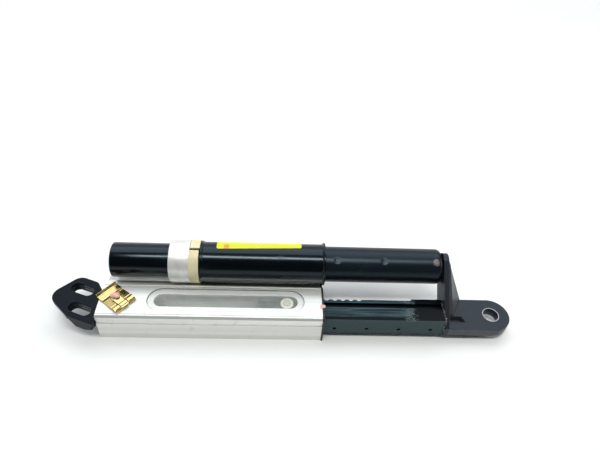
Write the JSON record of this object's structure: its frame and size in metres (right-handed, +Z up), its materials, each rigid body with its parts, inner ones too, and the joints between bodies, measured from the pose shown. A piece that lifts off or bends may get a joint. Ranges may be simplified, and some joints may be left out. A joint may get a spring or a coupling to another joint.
{
  "type": "gas strut stay",
  "caption": "Telescoping window stay: a slotted guide housing with a toothed slider rail, and a guarded gas strut that pushes the slider's eye bracket out beside it.",
  "frame": {"origin": "on the guide housing's underside, half way along the housing, on the centre line of its pins", "axes": "+X runs along the stay from the hinge bracket to the fixing eye, +Y points back towards the strut tube, +Z points up out of the slotted face"},
  "size_m": [0.365, 0.0707, 0.0546],
  "materials": {
    "extrusion": "mill-finish extruded aluminium, fine lines along it",
    "wiper": "black moulded plate",
    "window": "clear moulded plastic, a little frosted",
    "glides": "off-white nylon",
    "black_tube": "gloss black paint",
    "collar": "turned, fine rings",
    "split_band": "cream nylon",
    "label": "blank lemon-yellow film",
    "rod": "hard chrome, ground",
    "piston": "turned",
    "seal": "black nitrile",
    "screws": "zinc plated",
    "rail": "blue-grey steel with long scratches",
    "stop": "zinc plated",
    "black_bracket": "satin black paint",
    "eye": "bright reamed bush",
    "plunger": "satin black coating",
    "rivet": "bare steel",
    "inner_steel": "plain drawn steel",
    "bronze": "sintered bronze",
    "pin": "steel rivet with a dab of pink paint",
    "clip": "yellow zinc passivate"
  },
  "bodies": {
    "housing": {"guide_housing": "extrusion", "slot_window": "window", "end_wiper": "wiper", "glide_floor": "glides", "glide_front": "glides", "glide_back": "glides", "base_tube": "black_tube", "base_cap": "black_tube", "collar_ring": "collar", "split_ring": "split_band", "guard_sleeve": "black_tube", "sleeve_label": "label", "piston_rod": "rod", "piston": "piston", "piston_seal": "seal", "collar_screws": "screws", "swivel_pin": "pin", "pivot_spacer": "inner_steel", "pivot_washer": "stop", "spring_clip": "clip"},
    "slider": {"slider_rail": "rail", "stop_washer": "stop", "stop_pin": "stop", "end_bracket": "black_bracket", "eye_bush": "eye", "plunger_tube": "plunger", "plunger_rivet": "rivet", "cylinder_plug": "inner_steel", "gas_cylinder": "inner_steel", "rod_guide": "bronze", "rod_seal": "seal", "plunger_bush": "glides", "centring_rings": "glides"},
    "hinge_bracket": {"hinge_plate": "black_bracket", "hinge_doubler": "black_bracket", "hinge_bush": "eye"}
  },
  "joints": [
    {"name": "strut_slide", "type": "slide", "parent": "housing", "child": "slider", "axis": [1, 0, 0], "range_m": [-0.095, 0], "stiffness_N_per_m": 100, "springref_m": 0.5},
    {"name": "bracket_swivel", "type": "hinge", "parent": "housing", "child": "hinge_bracket", "pos_m": [-0.0736, 0, 0.0185], "axis": [0, 0, 1], "range_deg": [-10, 0]}
  ]
}
